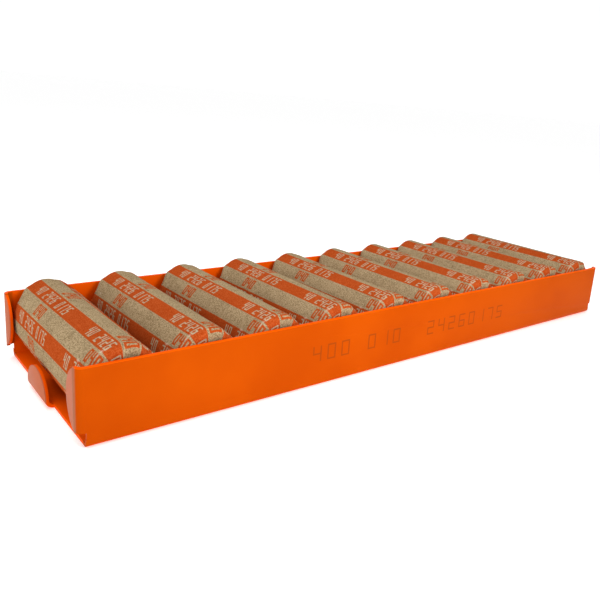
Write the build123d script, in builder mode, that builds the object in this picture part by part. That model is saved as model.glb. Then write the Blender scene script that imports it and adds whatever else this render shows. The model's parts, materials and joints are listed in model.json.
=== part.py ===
"""Coin roll tray: a folded sheet-metal tray that holds ten paper-wrapped rolls of coins side by side.

Frame: millimetres, +X along the tray's length, +Y towards its back wall, +Z up.
The origin is on the underside of the floor, at the middle of the tray.
"""

from build123d import *
import os

# ---- The coin and its roll: the tray is sized to fit them ----
coin_diameter = 24.26
coin_thickness = 1.75
coins_per_roll = 40
rim_width = 0.75  # raised ring round each face of a coin
field_depth = 0.2  # how far a coin's face lies below its rim
coin_edge_break = 0.15

paper_wall = 0.5  # two turns of kraft paper with a little air between them
coin_slack = 0.52  # radial room between the coins and the paper
coin_rest_gap = 0.05  # the coins lie this close to the paper under them
fold_radius = 2.5  # rounding where the paper turns over the end of the roll
fold_slack = 1.8  # the folded paper stands this far off the last coin
end_hole_diameter = 12.0  # the folds meet round this hole

# ---- How the rolls lie in the tray ----
roll_count = 10
roll_gap = 0.4  # between one roll and the next
tray_end_gap = 0.5  # between the end rolls and the end tabs
tray_side_gap = 0.5  # between a roll's ends and the long walls
tray_floor_gap = 0.2  # between a roll and the floor

# ---- The tray's sheet ----
sheet = 1.2
wall_height = 24.6
wall_bend_radius = 1.6  # outside radius of the long bends between the floor and the walls
bend_radius = 2.6  # outside radius of the bends of the tabs
relief_base = 2.6  # from the underside of the floor
relief_height = 2.2  # square cut that frees each corner tab from the floor
relief_width = 2.8  # measured from the outside of the ear
corner_tab_reach = 8.4  # from the outside of the long wall
centre_tab_width = 19.4
centre_tab_height = 10.4  # from the underside of the floor

# ---- Sizes worked out from the values above ----
coin_radius = coin_diameter / 2
stack_length = coins_per_roll * coin_thickness
bore_radius = coin_radius + coin_slack
roll_radius = bore_radius + paper_wall
roll_length = stack_length + 2 * (fold_slack + paper_wall)
roll_pitch = 2 * roll_radius + roll_gap
roll_axis_height = sheet + tray_floor_gap + roll_radius
stack_axis_height = roll_axis_height - coin_slack + coin_rest_gap

inner_wall_bend_radius = wall_bend_radius - sheet
inner_bend_radius = bend_radius - sheet
tray_length = (roll_count - 1) * roll_pitch + 2 * (roll_radius + tray_end_gap + sheet)
tray_width = roll_length + 2 * (tray_side_gap + sheet)
half_length = tray_length / 2
half_width = tray_width / 2
plate_half_length = half_length - bend_radius  # floor and walls end where the end bends begin
corner_tab_base = relief_base + relief_height
selector_margin = 0.01  # how closely a selector has to match a height


def roll_middle(index):
    """X of the axis of a roll, counted from the left end of the tray."""
    return (index - (roll_count - 1) / 2) * roll_pitch


def make_channel():
    """The floor and the two long walls, folded from one sheet."""
    with BuildPart() as channel:
        with BuildSketch(Plane.YZ) as section:
            with Locations((0, wall_height / 2)):
                Rectangle(tray_width, wall_height)
            fillet(section.vertices().group_by(Axis.Y)[0], wall_bend_radius)
            with Locations((0, sheet + wall_height / 2)):
                Rectangle(tray_width - 2 * sheet, wall_height, mode=Mode.SUBTRACT)
            lowest, highest = sheet - selector_margin, sheet + selector_margin
            floor_corners = section.vertices().filter_by_position(Axis.Y, lowest, highest)
            fillet(floor_corners, inner_wall_bend_radius)
        extrude(amount=plate_half_length, both=True)
    return channel


def make_corner_tab():
    """The half-oval ear that folds in from the end of the front wall, at the left end."""
    tab_middle = (corner_tab_base + wall_height) / 2
    half_height = (wall_height - corner_tab_base) / 2
    bend_centre = (-plate_half_length, -half_width + bend_radius)
    ear_tip = -half_width + corner_tab_reach
    with BuildPart() as tab:
        with BuildSketch(Plane.XY.offset(corner_tab_base)):
            with BuildLine():
                outside = CenterArc(bend_centre, bend_radius, 180, 90)
                inside = CenterArc(bend_centre, inner_bend_radius, 180, 90)
                Line(outside @ 1, inside @ 1)
                Polyline(outside @ 0, (-half_length, ear_tip), (sheet - half_length, ear_tip), inside @ 0)
            make_face()
        extrude(amount=wall_height - corner_tab_base)
        with BuildSketch(Plane.YZ.offset(-half_length)):
            with Locations((-half_width, tab_middle)):
                Ellipse(corner_tab_reach, half_height)
                Rectangle(2 * bend_radius, 2 * half_height)
        extrude(amount=bend_radius, mode=Mode.INTERSECT)
    return tab


def make_centre_tab():
    """The half-oval ear that folds up from the middle of the floor, at the left end."""
    bend_centre = (-plate_half_length, bend_radius)
    ear_height = centre_tab_height - bend_radius
    with BuildPart() as tab:
        with BuildSketch(Plane.XZ.offset(-centre_tab_width / 2)):
            with BuildLine():
                outside = CenterArc(bend_centre, bend_radius, 180, 90)
                inside = CenterArc(bend_centre, inner_bend_radius, 180, 90)
                Line(outside @ 1, inside @ 1)
                Polyline(
                    outside @ 0,
                    (-half_length, centre_tab_height),
                    (sheet - half_length, centre_tab_height),
                    inside @ 0,
                )
            make_face()
        extrude(amount=centre_tab_width)
        with BuildSketch(Plane.YZ.offset(-half_length)):
            with Locations((0, bend_radius)):
                Ellipse(centre_tab_width / 2, ear_height)
            with Locations((0, bend_radius / 2)):
                Rectangle(centre_tab_width, bend_radius)
        extrude(amount=bend_radius, mode=Mode.INTERSECT)
    return tab


def make_tray():
    """The whole tray: one sheet, folded up at the sides and at six ears."""
    channel = make_channel()
    corner_tab = make_corner_tab()
    centre_tab = make_centre_tab()
    with BuildPart() as tray:
        add(channel.part)
        add(corner_tab.part)
        add(mirror(corner_tab.part, about=Plane.XZ))
        add(centre_tab.part)
        mirror(about=Plane.YZ)
        with Locations((0, 0, relief_base + relief_height / 2)):
            with GridLocations(tray_length, tray_width, 2, 2):
                Box(2 * relief_width, 2 * relief_width, relief_height, mode=Mode.SUBTRACT)
    return tray


def make_wrapper(index):
    """One paper wrapper: a tube whose ends are folded in over the coins."""
    middle = roll_middle(index)
    plane = Plane(origin=(middle, 0, roll_axis_height), x_dir=(1, 0, 0), z_dir=(0, 0, 1))
    axis = Axis((middle, 0, roll_axis_height), (0, 1, 0))
    with BuildPart() as wrapper:
        with BuildSketch(plane) as section:
            with Locations((roll_radius / 2, 0)):
                Rectangle(roll_radius, roll_length)
            fillet(section.vertices().group_by(Axis.X)[-1], fold_radius)
            with BuildSketch(plane, mode=Mode.SUBTRACT) as hollow:
                with Locations((bore_radius / 2, 0)):
                    Rectangle(bore_radius, roll_length - 2 * paper_wall)
                fillet(hollow.vertices().group_by(Axis.X)[-1], fold_radius - paper_wall)
            Rectangle(end_hole_diameter, 2 * roll_length, mode=Mode.SUBTRACT)
        revolve(axis=axis)
    return wrapper


def make_coin_stack(index):
    """The coins of one roll, rim to rim, lying on the paper under them."""
    middle = roll_middle(index)
    plane = Plane(origin=(middle, 0, stack_axis_height), x_dir=(1, 0, 0), z_dir=(0, 0, 1))
    axis = Axis((middle, 0, stack_axis_height), (0, 1, 0))
    field_radius = coin_radius - rim_width
    first_coin = (coin_thickness - stack_length) / 2
    with BuildPart() as coin:
        with BuildSketch(plane) as section:
            with Locations((coin_radius / 2, 0)):
                Rectangle(coin_radius, coin_thickness)
            chamfer(section.vertices().group_by(Axis.X)[-1], coin_edge_break)
            for face in (-1, 1):
                with Locations((field_radius / 2, face * coin_thickness / 2)):
                    Rectangle(field_radius, 2 * field_depth, mode=Mode.SUBTRACT)
        revolve(axis=axis)
    places = [(0, first_coin + number * coin_thickness, 0) for number in range(coins_per_roll)]
    return Compound([coin.part.moved(Location(place)) for place in places])


def save(shape, name):
    """Label a finished piece and write it as its own STEP file."""
    shape.label = name
    export_step(shape, f"parts/{name}.step")
    print(f"{name}: {len(shape.solids())} solid(s), {shape.volume:.0f} mm3")


os.makedirs("parts", exist_ok=True)
print(f"tray {tray_length:.1f} x {tray_width:.1f} x {wall_height:.1f} mm")
print(f"rolls {2 * roll_radius:.2f} x {roll_length:.1f} mm, one every {roll_pitch:.2f} mm")
save(make_tray().part, "tray")
for roll in range(roll_count):
    save(make_wrapper(roll).part, f"wrapper_{roll + 1:02d}")
    save(make_coin_stack(roll), f"coin_stack_{roll + 1:02d}")
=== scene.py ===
# %% [markdown]
# # A tray of coin rolls
# Ten rolls of coins, each wrapped in printed kraft paper, lie side by side in a folded sheet-metal
# tray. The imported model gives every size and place, and this file gives the looks: the tray's soft
# edges and orange paint, the creased paper with its stripes and numerals, the folded paper ends,
# and the coins that show through them.

# %% Load the fixed frame
import json
import math

import bpy
from mathutils import Matrix, Quaternion, Vector, noise

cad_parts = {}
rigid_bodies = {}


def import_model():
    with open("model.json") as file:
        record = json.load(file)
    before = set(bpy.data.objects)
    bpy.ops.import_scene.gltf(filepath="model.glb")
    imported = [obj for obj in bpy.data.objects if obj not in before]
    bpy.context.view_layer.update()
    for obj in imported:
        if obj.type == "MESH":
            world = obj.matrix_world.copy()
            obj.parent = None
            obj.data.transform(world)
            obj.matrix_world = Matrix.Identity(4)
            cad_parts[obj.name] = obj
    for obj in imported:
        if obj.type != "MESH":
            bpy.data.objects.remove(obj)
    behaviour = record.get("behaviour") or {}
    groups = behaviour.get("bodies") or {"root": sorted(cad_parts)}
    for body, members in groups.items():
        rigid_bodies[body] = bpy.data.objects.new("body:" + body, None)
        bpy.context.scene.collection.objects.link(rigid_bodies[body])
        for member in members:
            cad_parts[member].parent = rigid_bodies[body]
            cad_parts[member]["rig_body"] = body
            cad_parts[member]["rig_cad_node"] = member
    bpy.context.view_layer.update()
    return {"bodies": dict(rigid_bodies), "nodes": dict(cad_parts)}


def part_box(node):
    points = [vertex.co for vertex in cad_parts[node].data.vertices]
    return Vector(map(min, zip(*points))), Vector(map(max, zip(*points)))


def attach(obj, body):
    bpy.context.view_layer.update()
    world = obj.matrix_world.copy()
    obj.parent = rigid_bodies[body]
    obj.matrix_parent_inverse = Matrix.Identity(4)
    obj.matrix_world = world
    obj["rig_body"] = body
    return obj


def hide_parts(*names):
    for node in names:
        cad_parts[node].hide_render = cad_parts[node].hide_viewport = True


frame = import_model()
MM = 0.001
roll_bodies = sorted(name for name in frame["bodies"] if name.startswith("roll_"))
print("rolls in the tray:", len(roll_bodies))

# %% [markdown]
# ## The camera
# The tray is seen from its front left corner, from a little above the rolls, as if by somebody who
# has just set it down. The view is turned a few degrees, so the camera rolls about its own line
# of sight. A shifted lens moves the view without changing the perspective.

# %% Set the camera
camera_spot = Vector((-187.3, -208.7, 101.8)) * MM
heading = math.radians(41.72)  # from +Y towards +X
dip = math.radians(14.14)
turn = math.radians(4.96)
line_of_sight = Vector((
    math.sin(heading) * math.cos(dip),
    math.cos(heading) * math.cos(dip),
    -math.sin(dip),
))
camera_data = bpy.data.cameras.new("camera")
camera_data.sensor_width = 36
camera_data.lens = 39.07
camera_data.shift_x = -0.0990
camera_data.shift_y = -0.0621
camera_data.clip_start = 0.01
camera_data.clip_end = 20
camera = bpy.data.objects.new("camera", camera_data)
bpy.context.scene.collection.objects.link(camera)
camera.location = camera_spot
camera.rotation_mode = "QUATERNION"
camera.rotation_quaternion = line_of_sight.to_track_quat("-Z", "Y") @ Quaternion((0, 0, 1), turn)
bpy.context.scene.camera = camera
print("camera", [round(x, 3) for x in camera.location])

# %% [markdown]
# ## Floor and light
# A pale floor that glows a little and a white sky that is dimmer overhead give the plain studio
# look. One large soft light from above shapes the rolls, a near one brings out the middle of the
# front wall, and a panel on the left lights the pale sheen on the ears, which is partly painted.

# %% Make the floor, the sky and the lights
bpy.context.scene.view_settings.view_transform = "Standard"
bpy.ops.mesh.primitive_plane_add(size=60, location=(0, 0, -0.0002))
floor = bpy.context.object
floor.name = "floor"

white_walls, dim_ceiling = 1.05, 0.62
ceiling_reached = 0.9  # how far up a direction points there, from 0 for level to 1 for straight up
world = bpy.data.worlds.new("studio")
bpy.context.scene.world = world
world.use_nodes = True
sky = world.node_tree.nodes["Background"]
sky.inputs["Color"].default_value = (1, 1, 1, 1)
towards = world.node_tree.nodes.new("ShaderNodeTexCoord")
parts = world.node_tree.nodes.new("ShaderNodeSeparateXYZ")
shade = world.node_tree.nodes.new("ShaderNodeMapRange")
shade.interpolation_type = "SMOOTHSTEP"
shade.inputs["From Max"].default_value = ceiling_reached
shade.inputs["To Min"].default_value = white_walls
shade.inputs["To Max"].default_value = dim_ceiling
world.node_tree.links.new(towards.outputs["Generated"], parts.inputs[0])
world.node_tree.links.new(parts.outputs["Z"], shade.inputs["Value"])
world.node_tree.links.new(shade.outputs[0], sky.inputs["Strength"])


def soft_light(name, spot, aim, size, watts):
    """A rectangular area light that faces a point."""
    data = bpy.data.lights.new(name, "AREA")
    data.shape = "RECTANGLE"
    data.size, data.size_y = size
    data.energy = watts
    light = bpy.data.objects.new(name, data)
    light.location = spot
    light.rotation_mode = "QUATERNION"
    light.rotation_quaternion = (Vector(aim) - Vector(spot)).to_track_quat("-Z", "Y")
    bpy.context.scene.collection.objects.link(light)


front_spot, front_aim = (-0.03, -0.25, 0.13), (-0.03, -0.039, 0.012)
left_spot, left_aim = (-0.55, -0.04, 0.16), (-0.13, 0, 0)
soft_light("front_box", front_spot, front_aim, size=(0.10, 0.08), watts=0.38)
soft_light("left_box", left_spot, left_aim, size=(0.30, 0.20), watts=0.45)
soft_light("overhead", (-0.25, 0.05, 0.75), (0, 0, 0), size=(0.6, 0.4), watts=2.2)
print("lights", [light.name for light in bpy.data.lights])

# %% [markdown]
# ## A small language for finishes
# A finish is a network of shader nodes. Writing it as sums in Python keeps it readable: a Wire
# stands for one output, and adding or multiplying two wires adds the Math node that does it.
# Every other kind of node comes from one method, node().

# %% Wires and finishes


class Wire:
    """One output of a node, used in expressions as if it were a number."""

    def __init__(self, finish, socket):
        self.finish = finish
        self.socket = socket

    def math(self, operation, *values):
        return self.finish.node("ShaderNodeMath", {"operation": operation}, values)

    def __add__(self, other):
        return self.math("ADD", self, other)

    def __sub__(self, other):
        return self.math("SUBTRACT", self, other)

    def __rsub__(self, other):
        return self.math("SUBTRACT", other, self)

    def __mul__(self, other):
        return self.math("MULTIPLY", self, other)

    def __truediv__(self, other):
        return self.math("DIVIDE", self, other)

    def __abs__(self):
        return self.math("ABSOLUTE", self)

    def __mod__(self, other):
        return self.math("FLOORED_MODULO", self, other)

    __radd__ = __add__
    __rmul__ = __mul__

    def least(self, other):
        return self.math("MINIMUM", self, other)

    def most(self, other):
        return self.math("MAXIMUM", self, other)

    def ramp(self, low, high):
        """0 below low, 1 above high, and a smooth rise between; low may be the larger."""
        settings = {"interpolation_type": "SMOOTHSTEP"}
        return self.finish.node("ShaderNodeMapRange", settings, {0: self, 1: low, 2: high})


class Finish:
    """A material with one Principled shader, built up from wires."""

    def __init__(self, name, **constants):
        self.material = bpy.data.materials.new(name)
        self.material.use_nodes = True
        self.tree = self.material.node_tree
        self.shader = self.tree.nodes["Principled BSDF"]
        for word, value in constants.items():
            socket = word.replace("_", " ").title().replace("Ior", "IOR")
            self.shader.inputs[socket].default_value = value

    def node(self, kind, settings=None, inputs=(), output=0):
        """Make a node and give one output of it; stops are a colour ramp's places and colours."""
        made = self.tree.nodes.new(kind)
        for name, value in (settings or {}).items():
            if name == "stops":
                elements = made.color_ramp.elements
                while len(elements) > 1:
                    elements.remove(elements[-1])
                elements[0].position, elements[0].color = value[0][0], (*value[0][1], 1)
                for place, colour in value[1:]:
                    elements.new(place).color = (*colour, 1)
            elif name == "interpolation":
                made.color_ramp.interpolation = value
            else:
                setattr(made, name, value)
        pairs = inputs.items() if isinstance(inputs, dict) else enumerate(inputs)
        for key, value in pairs:
            self.plug(made.inputs[key], value)
        return Wire(self, made.outputs[output])

    def plug(self, socket, value):
        if isinstance(value, Wire):
            self.tree.links.new(value.socket, socket)
        elif socket.type == "RGBA" and len(value) == 3:
            socket.default_value = (*value, 1)
        else:
            socket.default_value = value

    def feed(self, socket, wire):
        self.plug(self.shader.inputs[socket], wire)

    def mix(self, share, first, second):
        """first where share is 0, second where it is 1, for colours."""
        inputs = {"Factor": share, 6: first, 7: second}
        return self.node("ShaderNodeMix", {"data_type": "RGBA"}, inputs, 2)

    def xyz(self, place):
        """The three coordinates of a place, as wires."""
        parts = self.node("ShaderNodeSeparateXYZ", {}, [place]).socket.node.outputs
        return [Wire(self, part) for part in parts]

    def speckle(self, place, scale, detail=4, roughness=0.6):
        """Smooth random values from 0 to 1; scale is in grains per metre."""
        inputs = {"Vector": place, "Scale": scale, "Detail": detail, "Roughness": roughness}
        return self.node("ShaderNodeTexNoise", {}, inputs)

    def bump(self, height, depth, strength):
        """A surface that stands out by a depth in metres where the height is 1."""
        inputs = {"Strength": strength, "Distance": depth, "Height": height}
        return self.node("ShaderNodeBump", {}, inputs)


print("finish helpers ready")

# %% [markdown]
# ## Selecting by place
# Every operator works on what is selected, so each step starts from nothing selected and picks
# its piece in code.

# %% Selection helpers


def only(piece):
    """Leave nothing selected but one object, and make it the active one."""
    bpy.ops.object.select_all(action="DESELECT")
    piece.hide_set(False)
    piece.select_set(True)
    bpy.context.view_layer.objects.active = piece


def apply_all(piece):
    only(piece)
    for modifier in list(piece.modifiers):
        bpy.ops.object.modifier_apply(modifier=modifier.name)


def triangles(piece):
    return sum(len(face.vertices) - 2 for face in piece.data.polygons)


def dress(piece, finish):
    piece.data.materials.clear()
    piece.data.materials.append(finish.material)


# %% [markdown]
# ## The floor's finish
# Plain matt white, a touch uneven so that it doesn't look computed.

# %% Paint the floor
floor_finish = Finish("floor_white", roughness=0.9, emission_color=(1, 1, 1, 1), emission_strength=0.28)
floor_place = floor_finish.node("ShaderNodeTexCoord", output="Object")
floor_grain = floor_finish.speckle(floor_place, 3)
off_white, near_white = (0.96, 0.96, 0.96), (0.98, 0.98, 0.98)
floor_finish.feed("Base Color", floor_finish.mix(floor_grain, off_white, near_white))
dress(floor, floor_finish)

# %% [markdown]
# ## The tray
# The real tray is one sheet of steel, cut flat, folded up and then painted, so its edges are
# softened by the paint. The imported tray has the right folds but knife-sharp edges. A copy of it is
# welded, its flat areas are joined, and a narrow bevel rounds every edge of the sheet.

# %% Model the tray
paint_softening = 0.22 * MM
welding_reach = 0.002 * MM

tray = frame["nodes"]["tray"].copy()
tray.data = tray.data.copy()
tray.name = "tray_sheet"
tray.parent = None
bpy.context.scene.collection.objects.link(tray)
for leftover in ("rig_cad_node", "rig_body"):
    del tray[leftover]
only(tray)
bpy.ops.object.mode_set(mode="EDIT")
bpy.ops.mesh.select_all(action="SELECT")
bpy.ops.mesh.remove_doubles(threshold=welding_reach)
bpy.ops.mesh.dissolve_limited(angle_limit=math.radians(1))
bpy.ops.mesh.select_all(action="DESELECT")
bpy.ops.object.mode_set(mode="OBJECT")
softening = tray.modifiers.new("soft edges", "BEVEL")
softening.width = paint_softening
softening.segments = 2
softening.limit_method = "ANGLE"
softening.angle_limit = math.radians(50)
apply_all(tray)
only(tray)
bpy.ops.object.shade_smooth_by_angle(angle=math.radians(35))
print("tray:", triangles(tray), "triangles")

# %% [markdown]
# ## Printed numerals
# The paper and the tray's front wall carry rows of numerals. Each numeral is drawn by strokes, as
# on a pocket calculator, because a stroke is only a box with a distance to it. A ramp with hard
# steps says at which places of the row each stroke is inked, so seven boxes draw any number.

# %% Numerals from seven strokes
STROKES = {  # middle of each stroke, and its half length, in shares of the numeral's width and height
    "top": (0, 0.5, 0.5, 0),
    "middle": (0, 0, 0.5, 0),
    "bottom": (0, -0.5, 0.5, 0),
    "upper_left": (-0.5, 0.25, 0, 0.25),
    "upper_right": (0.5, 0.25, 0, 0.25),
    "lower_left": (-0.5, -0.25, 0, 0.25),
    "lower_right": (0.5, -0.25, 0, 0.25),
}
LEFT_OUT = {  # the strokes that each numeral does without
    "0": ["middle"],
    "1": ["top", "middle", "bottom", "upper_left", "lower_left"],
    "2": ["upper_left", "lower_right"],
    "4": ["top", "bottom", "lower_left"],
    "5": ["upper_right", "lower_left"],
    "6": ["upper_right"],
    "7": ["middle", "bottom", "upper_left", "lower_left"],
    " ": list(STROKES),
}


def numerals(finish, along, up, text, place, size, period):
    """Distance in mm from the nearest stroke of a repeated row of numerals.

    along and up are wires in mm; place is one numeral's share of the row, size its width and height.
    """
    within = along % period
    local = (within % place) - place / 2
    width, height = size
    nearest = None
    for stroke, (across, above, half_across, half_above) in STROKES.items():
        inked = [stroke not in LEFT_OUT[numeral] for numeral in text] + [False]
        stops = [(0, (inked[0],) * 3)]
        for number in range(1, len(inked)):
            if inked[number] != inked[number - 1]:
                stops.append((number * place / period, (inked[number],) * 3))
        steps = {"interpolation": "CONSTANT", "stops": stops}
        shown = finish.node("ShaderNodeValToRGB", steps, [within / period])
        sideways = abs(local - across * width) - half_across * width
        upwards = abs(up - above * height) - half_above * height
        distance = sideways.most(upwards) + (1 - shown) * place
        nearest = distance if nearest is None else nearest.least(distance)
    return nearest


print("numerals that can be drawn:", "".join(LEFT_OUT))

# %% [markdown]
# ## The tray's paint
# Satin orange enamel over steel. It is nearly even, with a fine orange-peel surface that breaks
# up reflections, and faint cloudy variation from handling. The outer faces of the long walls and
# the bends at their ends are painted darker than the inside, as painted shade.

# %% Paint the tray
enamel = Finish("orange_enamel", ior=1.06)
enamel_place = enamel.node("ShaderNodeTexCoord", output="Object")
clouds = enamel.speckle(enamel_place, 22, 3)
peel = enamel.speckle(enamel_place, 1600, 2, 0.5)
fine_speckle = enamel.speckle(enamel_place, 5200, 2, 0.7)
cloudy = clouds.ramp(0.3, 0.7)
unshaded_paint = enamel.mix(cloudy, (0.76, 0.078, 0.0002), (0.82, 0.092, 0.0003))
# a darker copy of the same paint: painted shade for the outer faces of the long walls and the bends
painted_shade_paint = enamel.mix(cloudy, (0.43, 0.054, 0.0002), (0.49, 0.067, 0.0003))

# the tray's outer faces, so that the paint knows where it is
tray_x, tray_y, tray_z = enamel.xyz(enamel_place)
half_length, half_width, wall_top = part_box("tray")[1]

# the marking on the front wall: how many coins, how many rolls, and the coin's size
marking_length, marking_height, marking_middle = 111, 5.4, 12.5
marking = "400 010  24260175"
marking_place = marking_length / len(marking)
row = tray_x / MM + marking_length / 2
rise = tray_z / MM - marking_middle
marking_size = (0.5 * marking_place, marking_height)
stroke = numerals(enamel, row, rise, marking, marking_place, marking_size, 2 * marking_length)
on_wall = tray_y.ramp(0.1 * MM - half_width, 0.05 * MM - half_width)
stroke_reach, stroke_edge = 0.34, 0.12  # half a stroke's width, and how softly it ends
marked = stroke.ramp(stroke_reach, stroke_reach - stroke_edge) * on_wall
marking_brown = (0.24, 0.044, 0.004)

# the long walls' outer faces and the bends at their ends are painted darker, up to the rim: painted
# shade
faces = abs(tray_y).ramp(half_width - 0.5 * MM, half_width - 0.1 * MM)
by_the_ends = abs(tray_x).ramp(half_length - 3.5 * MM, half_length - 2.5 * MM)
bends = by_the_ends * abs(tray_y).ramp(half_width - 3.2 * MM, half_width - 2.4 * MM)
below_the_rim = tray_z.ramp(wall_top - 0.1 * MM, wall_top - 0.4 * MM)
paint = enamel.mix(faces.most(bends) * below_the_rim, unshaded_paint, painted_shade_paint)

# the ears' outer faces are painted a pale pink, a painted sheen that stands in for their reflection,
# speckled a little
sheen_on_ears = abs(tray_x).ramp(half_length - 0.45 * MM, half_length - 0.15 * MM)
painted_sheen = (0.31, 0.135, 0.078)
paint = enamel.mix(sheen_on_ears * (0.75 + 0.9 * (fine_speckle - 0.5)), paint, painted_sheen)
enamel.feed("Base Color", enamel.mix(0.75 * marked, paint, marking_brown))
enamel.feed("Roughness", 0.26 + 0.10 * clouds + 0.06 * fine_speckle)
enamel.feed("Normal", enamel.bump(peel + 0.3 * fine_speckle, 0.02 * MM, 0.5))
dress(tray, enamel)
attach(tray, "tray")
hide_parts("tray")
print("tray painted")

# %% [markdown]
# ## The paper wrappers
# A wrapper is a flat kraft paper tube, pressed flat in its packet, that is opened, filled and
# folded in at both ends. The old creases stay in it, so its section is not round but has fourteen
# flat sides, and its printed stripes run from crease to crease. It starts as what it is, a flat
# sheet: a grid whose UV map is the printer's flat drawing. Each point of the sheet is then carried
# round the roll and over its ends, so the print bends with the paper. Sculpting a cylinder could
# give the same shape, but its print would have to be fitted afterwards.

# %% The creased section of a roll
sides = 14
creases = [  # degrees from the top towards -X, and distance from the roll's axis in mm
    (8.5, 14.3), (31, 14.1), (55.5, 13.55), (80.5, 12.85), (106.5, 12.9), (133, 13.3), (160, 13.4),
    (187, 13.2), (213.5, 13.4), (240, 13.3), (266, 12.8), (291, 12.9), (316, 12.35), (342, 13.5),
]
twist = 3.3  # degrees that the creases turn from the middle of the roll to its fold
twist_length = 36
paper_round = 82.6
paper_length = 89.0
seam = 7  # the crease under the roll where the sheet's two edges meet
bulge, last_bulge = 0.22, 0.5  # how far the sides stand out at their middles, and the last one


def crease(number):
    """The place of a crease in the section, as (x, z), and its angle in degrees."""
    turns, number = divmod(number, sides)
    degrees, reach = creases[number]
    angle = math.radians(degrees)
    return Vector((-reach * math.sin(angle), reach * math.cos(angle))), degrees + 360 * turns


def section(side, along):
    """The place on the section at a number of sides from the first crease, and its angle."""
    number = math.floor(side)
    share = side - number
    (start, start_degrees), (end, end_degrees) = crease(number), crease(number + 1)
    bow = last_bulge if number % sides == sides - 1 else bulge
    place = start.lerp(end, share)
    place += place.normalized() * 4 * bow * share * (1 - share)
    turned = twist * max(-1, min(1, along / twist_length))
    place.rotate(Matrix.Rotation(math.radians(turned), 2))
    return place, start_degrees + (end_degrees - start_degrees) * share + turned


print("section", [round(x, 1) for x in section(0, 0)[0]])

# %% [markdown]
# The ends are folded in by thumb. The fold starts nearer the middle where a corner of the paper
# was pressed in, and the paper that is left over gathers in pleats round the hole.

# %% Carrying the sheet round the roll
end_face = 37.2  # from the roll's middle to the flat of its ends
fold_line = 34.7  # from the roll's middle to where the paper turns in
hole_radius = 6.0
pressed_corner, proud_corner = 58, -14  # degrees round the roll, where the fold starts early and late
dent_angle, dent_place = 56, -30  # where a thumb has pressed the side in
pleat_run = 5  # how far in from the fold the pleats take to gather
most_lift = 0.12


def hump(value, middle, width):
    """1 at the middle, falling smoothly to 0 at a width to either side; angles wrap round."""
    away = abs((value - middle + 180) % 360 - 180) / width
    return 0.5 + 0.5 * math.cos(math.pi * away) if away < 1 else 0


def bell(value, middle, width):
    """1 at the middle, falling smoothly to either side and reaching almost 0 at twice the width."""
    return math.exp(-(((value - middle) / width) ** 2))


def crumpled(place, size):
    """Soft creases: noise with sharp ridges, mostly from -1 to 1, whose grain has this size in mm."""
    return 1 - 3 * abs(noise.noise(place / size))


def unevenness(place, degrees, along):
    """How far the paper stands out, in mm; it is smooth at the middle and crumpled near the ends."""
    near_end = min(1, max(0, (abs(along) - 26) / 10))
    spot = Vector((place.x, along, place.y))
    lift = (0.015 + 0.15 * near_end) * crumpled(spot, 4.5) + 0.05 * noise.noise(spot / 13)
    lift -= 0.35 * hump(degrees, dent_angle, 20) * bell(along, dent_place, 3)
    return min(lift, most_lift)


def wrapped(side, along):
    """A point of the flat sheet, on the roll, in mm from the roll's middle."""
    place, degrees = section(side, along)
    end = 1 if along > 0 else -1
    away = abs(along)
    fold_start = fold_line - 3.3 * hump(degrees, pressed_corner, 26)
    fold_start += 1.2 * hump(degrees, proud_corner, 14)
    fold_start += 0.5 * noise.noise(Vector((place.x / 5, place.y / 5, 7 * end)))
    fold = end_face - fold_start
    turned = (away - fold_start) / fold
    if turned <= 0:
        y, inwards = away, 0
    elif turned < math.pi / 2:
        y, inwards = fold_start + fold * math.sin(turned), fold * (1 - math.cos(turned))
    else:
        inwards = fold + (turned - math.pi / 2) * fold
        depth = min(1, (inwards - fold) / pleat_run)
        pleat = abs((degrees * sides / 360 + 0.8 * depth) % 1 - 0.5) * 2
        y = end_face - 0.9 * depth**2 - 0.7 * depth * pleat
    lift = unevenness(place, degrees, along) if inwards < fold else 0
    flat = place.normalized() * max(place.length - inwards + lift, hole_radius - 1)
    return Vector((flat.x, end * y, flat.y))


def rub_and_highlight_at(side, along):
    """How pale the paper is made, from 0 to 1: rubbed folds, and painted highlight along the fold and
    the creases.
    """
    _, degrees = section(side, along)
    away = abs(along)
    # paler along the fold, at the thumb's dent and along every crease: partly rubbed paper, partly
    # painted highlight
    edge = bell(away, 35.4, 0.6) * (0.15 + 0.35 * hump(degrees, 31, 14))
    press = 0.6 * hump(degrees, 53, 5) * bell(away, 28.5, 0.9)
    ridge = 0.12 * bell(side, round(side), 0.09) if away < 37 else 0
    return min(1, edge + press + ridge)


print("the sheet's edge ends up at", [round(x, 1) for x in wrapped(0, paper_length / 2)])

# %% [markdown]
# A grid stands for the flat sheet. Its points are moved one by one, its two long edges are welded
# into the seam, and a Solidify modifier gives the paper its thickness. How pale each point is, from
# rubbing and from painted highlight on the folds and creases, is stored with it, where the finish
# can read it.

# %% Model one wrapper
columns, rows = 8 * sides, 128
bpy.ops.object.select_all(action="DESELECT")
bpy.ops.mesh.primitive_grid_add(
    x_subdivisions=columns, y_subdivisions=rows, size=1, calc_uvs=True, location=(0, 0, 0)
)
paper = bpy.context.object
paper.name = "paper"
rub = paper.data.attributes.new("rub", "FLOAT", "POINT")
for vertex in paper.data.vertices:
    side = seam + (vertex.co.x + 0.5) * sides
    along = vertex.co.y * paper_length
    rub.data[vertex.index].value = rub_and_highlight_at(side, along)
    vertex.co = wrapped(side, along) * MM
only(paper)
bpy.ops.object.mode_set(mode="EDIT")
bpy.ops.mesh.select_all(action="SELECT")
bpy.ops.mesh.remove_doubles(threshold=0.01 * MM)
bpy.ops.mesh.normals_make_consistent(inside=False)
bpy.ops.mesh.select_all(action="DESELECT")
bpy.ops.object.mode_set(mode="OBJECT")
thickness = paper.modifiers.new("paper thickness", "SOLIDIFY")
thickness.thickness = 0.2 * MM
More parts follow.
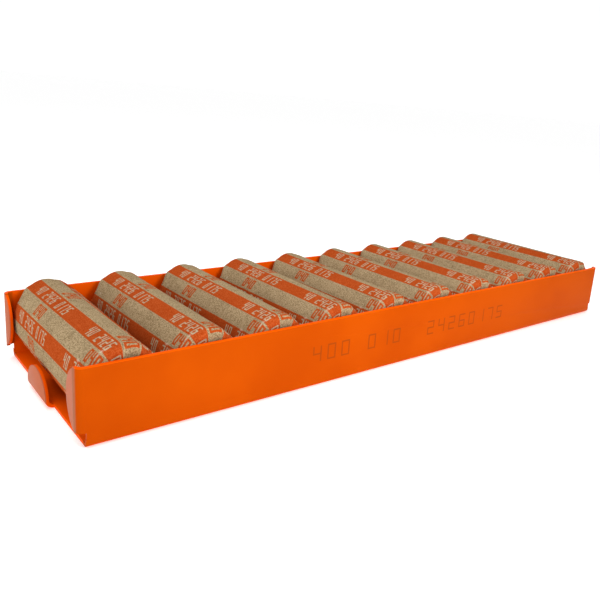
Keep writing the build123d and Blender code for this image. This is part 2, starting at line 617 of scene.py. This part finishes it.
thickness.offset = -1
apply_all(paper)
bpy.ops.object.shade_smooth_by_angle(angle=math.radians(40))
print("wrapper:", triangles(paper), "triangles", [round(x / MM, 1) for x in paper.dimensions])

# %% [markdown]
# ## The printed kraft paper
# Kraft paper is brown, matt and flecked with fibres. Stripes of orange ink run along it, and the
# ink lies thin enough for the fibres to show. The numerals on the stripes are left bare, and those
# on the bare paper are printed solid. All of it is drawn in millimetres on the flat sheet, so it
# follows every fold.

# %% Print the paper
kraft = Finish("printed_kraft", roughness=0.85, specular_ior_level=0.0)
sheet_map = kraft.node("ShaderNodeUVMap", {"uv_map": "UVMap"})
kraft_place = kraft.node("ShaderNodeTexCoord", output="Object")
sheet_u, sheet_v, _ = kraft.xyz(sheet_map)
around = sheet_u * sides + seam
along = (sheet_v - 0.5) * paper_length

side_width = paper_round / sides
wobble = (kraft.speckle(kraft_place, 1500, 2) - 0.5) * 0.25
band = (around % 2) * side_width
ink_edge = 0.07
half_stripe = side_width / 2
stripe = (abs(band - half_stripe) + wobble).ramp(half_stripe + ink_edge, half_stripe - ink_edge)

up_the_side = (0.5 - around % 1) * side_width
repeat = 47  # the print starts again after this length of the roll
stripe_start, kraft_start = 27.8, 16.5  # where the two rows begin, from the roll's middle
stripe_text, kraft_text = "40 2426 0175", "040"
stripe_size, kraft_size = (1.15, 3.7), (1.3, 3.5)  # a numeral's width and height
thin_stroke, thick_stroke = 0.30, 0.40  # half a stroke's width
print_edge = 0.08
stripe_row = numerals(kraft, stripe_start - along, up_the_side, stripe_text, 2.45, stripe_size, repeat)
kraft_row = numerals(kraft, kraft_start - along, up_the_side, kraft_text, 2.5, kraft_size, repeat)
bare_strokes = (stripe_row + 0.3 * wobble).ramp(thin_stroke, thin_stroke - print_edge)
solid = (kraft_row + 0.3 * wobble).ramp(thick_stroke, thick_stroke - print_edge)
inked = (stripe * (1 - bare_strokes)).most((1 - stripe) * solid)

fibres = kraft.speckle(kraft_place, 2600, 3, 0.75)
mottle = kraft.speckle(kraft_place, 420, 4, 0.6)
blotch = kraft.speckle(kraft_place, 90, 3)
paper_tone = (0.8 * fibres + 0.12 * mottle + 0.08 * blotch).ramp(0.38, 0.62)
bare = kraft.mix(paper_tone, (0.165, 0.110, 0.053), (0.44, 0.325, 0.187))
ink = kraft.mix(paper_tone, (0.31, 0.032, 0.0008), (0.44, 0.058, 0.002))
printed = kraft.mix(inked * (0.97 - 0.10 * fibres), bare, ink)
unprinted_line = 0.2 * bare_strokes * stripe
# the pale marks read here are partly rubbed paper and partly painted highlight on the folds and creases
rub_and_highlight_share = kraft.node("ShaderNodeAttribute", {"attribute_name": "rub"}, output=2)
rub_and_highlight_share = (rub_and_highlight_share * (0.5 + mottle)).ramp(0.12, 0.95)
pale = (0.66, 0.56, 0.43)
kraft.feed("Base Color", kraft.mix((0.7 * rub_and_highlight_share).most(unprinted_line), printed, pale))
kraft.feed("Roughness", 0.90 - 0.22 * inked + 0.1 * (fibres - 0.5))
kraft.feed("Normal", kraft.bump(fibres + 0.2 * mottle, 0.04 * MM, 0.45))
print("paper print has", len(kraft.tree.nodes), "nodes")

# %% [markdown]
# Each roll gets a copy of the wrapper with a mesh of its own, because the mesh is moved to the
# roll's place in the shared frame, and the wrapper then rides on that roll.

# %% Lay ten wrappers in the tray
dress(paper, kraft)
for body in roll_bodies:
    number = body[-2:]
    low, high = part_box(f"wrapper_{number}")
    one = paper.copy()
    one.data = paper.data.copy()
    one.name = f"paper_{number}"
    one.data.transform(Matrix.Translation((low + high) / 2))
    bpy.context.scene.collection.objects.link(one)
    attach(one, body)
    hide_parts(f"wrapper_{number}")
bpy.data.objects.remove(paper)
print("wrappers in place:", len(roll_bodies))

# %% [markdown]
# ## The coins
# Only the round holes in the folded ends show them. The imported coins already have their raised
# rims, so they keep their shape and get a worn nickel surface.

# %% Polish the coins
nickel = Finish("worn_nickel", metallic=1.0)
nickel_place = nickel.node("ShaderNodeTexCoord", output="Object")
tarnish = nickel.speckle(nickel_place, 160, 4)
scratches = nickel.speckle(nickel_place, 2500, 3, 0.7)
tarnished, polished = (0.30, 0.29, 0.275), (0.47, 0.455, 0.43)
nickel.feed("Base Color", nickel.mix(tarnish.ramp(0.3, 0.7), tarnished, polished))
nickel.feed("Roughness", 0.26 + 0.22 * tarnish + 0.08 * scratches)
nickel.feed("Normal", nickel.bump(scratches, 0.01 * MM, 0.5))
for body in roll_bodies:
    dress(frame["nodes"][f"coin_stack_{body[-2:]}"], nickel)
print("coins polished:", len(roll_bodies), "stacks")
